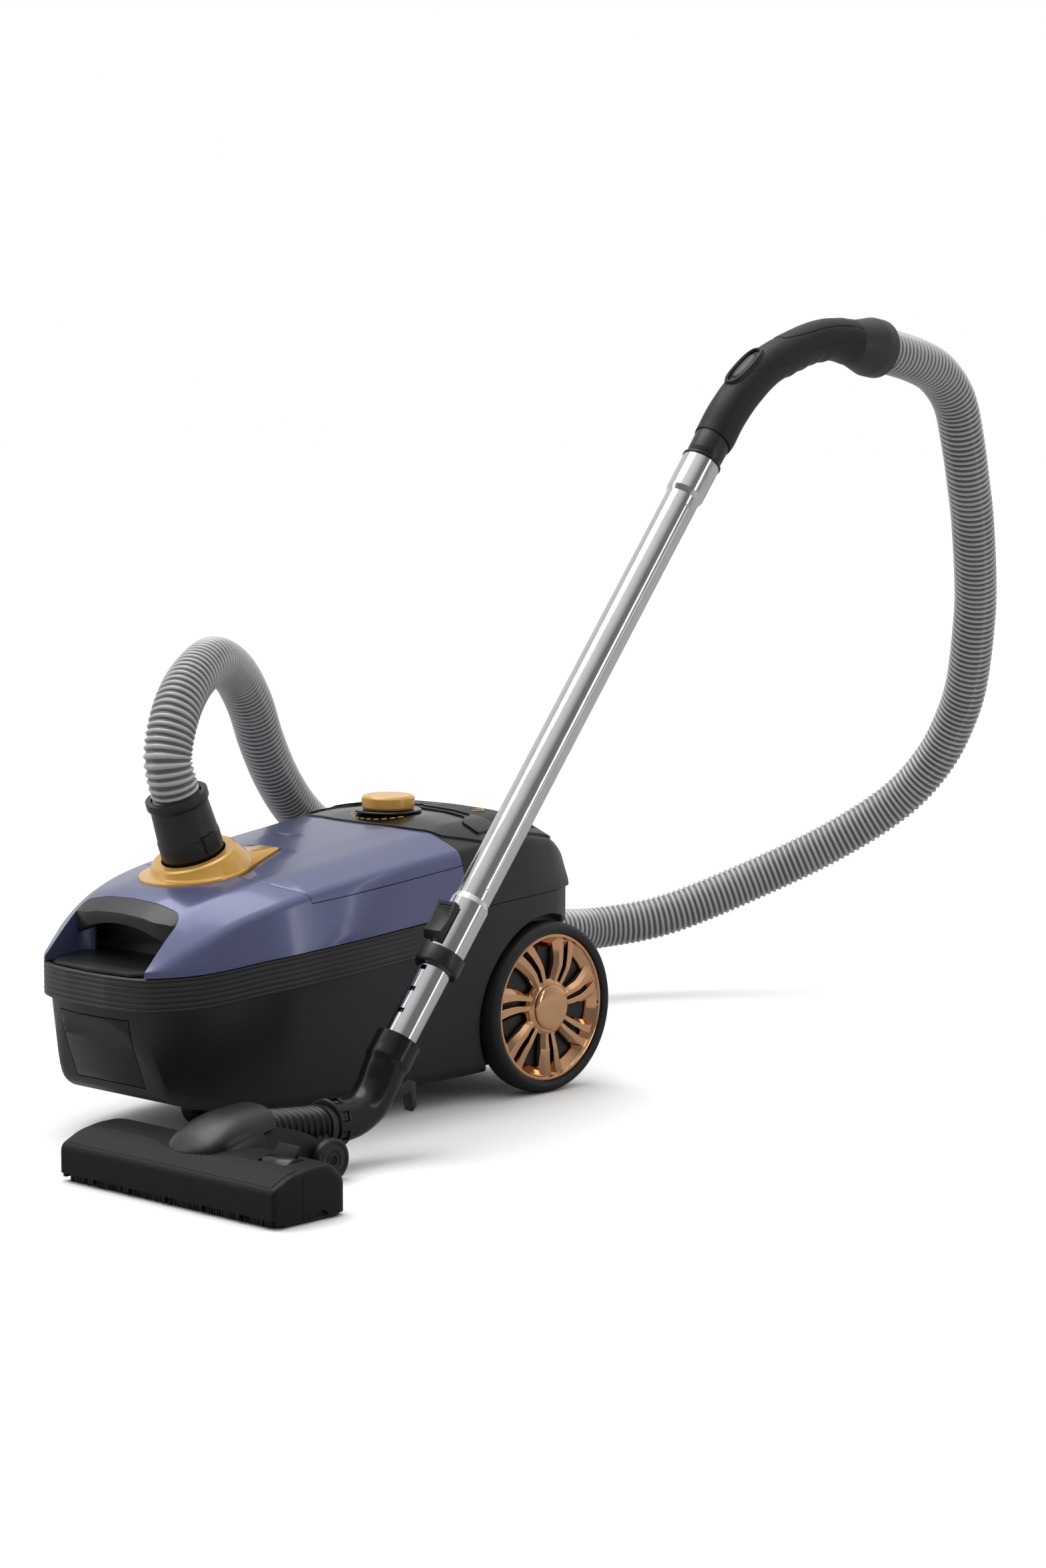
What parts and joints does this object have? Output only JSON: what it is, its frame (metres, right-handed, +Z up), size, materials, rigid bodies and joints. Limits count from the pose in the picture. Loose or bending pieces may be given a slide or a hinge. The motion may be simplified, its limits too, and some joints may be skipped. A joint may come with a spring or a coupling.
{
  "type": "canister vacuum cleaner",
  "caption": "Wheeled canister vacuum with a hinged bag lid, swivelling corrugated hose, telescopic wand and pivoting floor head.",
  "frame": {"origin": "on the floor plane, under the middle of the bounding box of everything but the hose", "axes": "+Z up, -Y towards the canister's nose and the floor head, +X towards the wand"},
  "size_m": [0.6261, 1.3481, 0.7804],
  "materials": {
    "black_satin": "satin moulded black plastic",
    "black_gloss": "polished black plastic",
    "black_matt": "fine-grained matt black plastic",
    "lilac": "slate lilac lacquer with a fine metallic sheen",
    "gold": "satin gold lacquer",
    "copper": "mirror copper metallised plastic",
    "chrome": "polished chromed steel tube",
    "steel": "plain steel",
    "rubber": "matt black rubber",
    "vinyl": "grey corrugated hose, slightly glossy",
    "paper": "filter fleece and card"
  },
  "bodies": {
    "canister": {"base_shell": "black_satin", "bumper_band": "black_matt", "front_panel": "black_gloss", "front_shell": "lilac", "carry_grip": "black_satin", "rear_cover": "black_satin", "inlet_collar": "gold", "deck_trim": "black_satin", "control_panel": "black_gloss", "dust_bag": "paper", "bag_card": "paper", "pre_motor_filter": "paper", "motor_housing": "steel", "cord_gland": "black_matt", "exhaust_filter": "paper", "axle_left": "steel", "axle_right": "steel", "inner_tube": "chrome", "elbow": "black_satin", "hose": "vinyl"},
    "lid": {"bag_lid": "lilac"},
    "latch": {"lid_latch": "black_satin"},
    "knob": {"power_knob": "gold"},
    "power_switch": {"power_pedal": "black_satin"},
    "rewind_switch": {"rewind_pedal": "black_satin"},
    "wheel_left": {"tyre_left": "rubber", "wheel_disc_left": "copper", "hub_cap_left": "copper"},
    "wheel_right": {"tyre_right": "rubber", "wheel_disc_right": "copper", "hub_cap_right": "copper"},
    "caster": {"caster_fork": "black_satin", "caster_axle": "steel"},
    "caster_wheel": {"caster_roller": "rubber"},
    "fan": {"impeller": "steel"},
    "reel": {"cord_reel": "black_matt"},
    "filter_door": {"exhaust_door": "black_satin"},
    "cuff": {"hose_cuff": "black_satin"},
    "button_left": {"cuff_button_left": "black_matt"},
    "button_right": {"cuff_button_right": "black_matt"},
    "upper_wand": {"outer_tube": "chrome", "tube_end_ring": "black_satin", "tube_top_ring": "black_matt", "handle_spigot": "black_satin", "handle_body": "black_matt", "handle_cover": "black_satin"},
    "tube_lock": {"lock_slider": "black_satin"},
    "air_vent": {"vent_slider": "black_satin"},
    "hose_swivel": {"hose_socket": "black_matt"},
    "neck": {"neck": "black_matt", "neck_collar": "black_satin"},
    "head": {"head_shell": "black_matt", "head_cover": "black_satin", "sole_plate": "steel"},
    "head_wheel_left": {"head_wheel_left": "rubber"},
    "head_wheel_right": {"head_wheel_right": "rubber"},
    "sole_switch": {"head_pedal": "black_gloss"},
    "brush": {"brush_strip": "black_matt"}
  },
  "joints": [
    {"name": "lid_hinge", "type": "hinge", "parent": "canister", "child": "lid", "pos_m": [-0.1165, -0.01893, 0.278], "axis": [-1, 0, 0], "range_deg": [0, 38]},
    {"name": "latch_press", "type": "hinge", "parent": "lid", "child": "latch", "pos_m": [-0.1165, -0.13492, 0.255], "axis": [1, 0, 0], "range_deg": [0, 8], "stiffness_Nm_per_rad": 0.5, "springref_deg": -2.86},
    {"name": "power_dial", "type": "hinge", "parent": "canister", "child": "knob", "pos_m": [-0.1165, 0.01107, 0.29], "axis": [0, 0, 1], "range_deg": [-135, 135]},
    {"name": "power_press", "type": "hinge", "parent": "canister", "child": "power_switch", "pos_m": [-0.0715, 0.11607, 0.28], "axis": [1, 0, 0], "range_deg": [0, 3], "stiffness_Nm_per_rad": 2, "springref_deg": -3.44},
    {"name": "rewind_press", "type": "hinge", "parent": "canister", "child": "rewind_switch", "pos_m": [-0.1615, 0.11607, 0.28], "axis": [1, 0, 0], "range_deg": [0, 3], "stiffness_Nm_per_rad": 2, "springref_deg": -3.44},
    {"name": "wheel_left_spin", "type": "hinge", "parent": "canister", "child": "wheel_left", "pos_m": [-0.2495, 0.09907, 0.0875], "axis": [1, 0, 0], "continuous": true},
    {"name": "wheel_right_spin", "type": "hinge", "parent": "canister", "child": "wheel_right", "pos_m": [0.0165, 0.09907, 0.0875], "axis": [1, 0, 0], "continuous": true},
    {"name": "caster_swivel", "type": "hinge", "parent": "canister", "child": "caster", "pos_m": [-0.1165, -0.25893, 0.045], "axis": [0, 0, 1], "continuous": true},
    {"name": "caster_roll", "type": "hinge", "parent": "caster", "child": "caster_wheel", "pos_m": [-0.1165, -0.24893, 0.018], "axis": [1, 0, 0], "continuous": true},
    {"name": "fan_spin", "type": "hinge", "parent": "canister", "child": "fan", "pos_m": [-0.0745, 0.02707, 0.108], "axis": [0, 1, 0], "continuous": true},
    {"name": "reel_spin", "type": "hinge", "parent": "canister", "child": "reel", "pos_m": [-0.1685, 0.06907, 0.088], "axis": [0, 0, 1], "continuous": true},
    {"name": "filter_door_hinge", "type": "hinge", "parent": "canister", "child": "filter_door", "pos_m": [-0.1165, 0.15907, 0.093], "axis": [1, 0, 0], "range_deg": [-85, 0]},
    {"name": "cuff_swivel", "type": "hinge", "parent": "canister", "child": "cuff", "pos_m": [-0.1165, -0.25193, 0.262], "axis": [0, -0.342, 0.9397], "continuous": true},
    {"name": "cuff_button_left_press", "type": "slide", "parent": "cuff", "child": "button_left", "axis": [1, 0, 0], "range_m": [0, 0.0024], "stiffness_N_per_m": 400, "springref_m": -0.002},
    {"name": "cuff_button_right_press", "type": "slide", "parent": "cuff", "child": "button_right", "axis": [-1, 0, 0], "range_m": [0, 0.0024], "stiffness_N_per_m": 400, "springref_m": -0.002},
    {"name": "wand_extend", "type": "slide", "parent": "canister", "child": "upper_wand", "axis": [0, 0.6307, 0.776], "range_m": [-0.072, 0.24], "deforming": ["hose"]},
    {"name": "tube_lock_press", "type": "slide", "parent": "upper_wand", "child": "tube_lock", "axis": [0, 0.6307, 0.776], "range_m": [-0.003, 0], "stiffness_N_per_m": 400, "springref_m": 0.002},
    {"name": "air_vent_slide", "type": "slide", "parent": "upper_wand", "child": "air_vent", "axis": [0, 0.8137, 0.5812], "range_m": [-0.004, 0.004]},
    {"name": "hose_swivel_turn", "type": "hinge", "parent": "upper_wand", "child": "hose_swivel", "pos_m": [0.1215, 0.50108, 0.747], "axis": [0, 0.9877, -0.1564], "continuous": true},
    {"name": "neck_swivel", "type": "hinge", "parent": "canister", "child": "neck", "pos_m": [0.1215, -0.30092, 0.044], "axis": [0, 1, 0], "range_deg": [-90, 90]},
    {"name": "head_pitch", "type": "hinge", "parent": "neck", "child": "head", "pos_m": [0.1215, -0.33692, 0.0205], "axis": [1, 0, 0], "range_deg": [-32, 43]},
    {"name": "head_wheel_left_spin", "type": "hinge", "parent": "head", "child": "head_wheel_left", "pos_m": [0.0835, -0.33692, 0.0205], "axis": [1, 0, 0], "continuous": true},
    {"name": "head_wheel_right_spin", "type": "hinge", "parent": "head", "child": "head_wheel_right", "pos_m": [0.1595, -0.33692, 0.0205], "axis": [1, 0, 0], "continuous": true},
    {"name": "sole_pedal", "type": "hinge", "parent": "head", "child": "sole_switch", "pos_m": [0.2195, -0.45493, 0.048], "axis": [1, 0, 0], "range_deg": [0, 12]},
    {"name": "brush_lift", "type": "slide", "parent": "head", "child": "brush", "axis": [0, 0, 1], "range_m": [0, 0.006]}
  ],
  "couplings": [
    {"joint": "brush_lift", "follows": "sole_pedal", "m_per_rad": 0.028638}
  ]
}
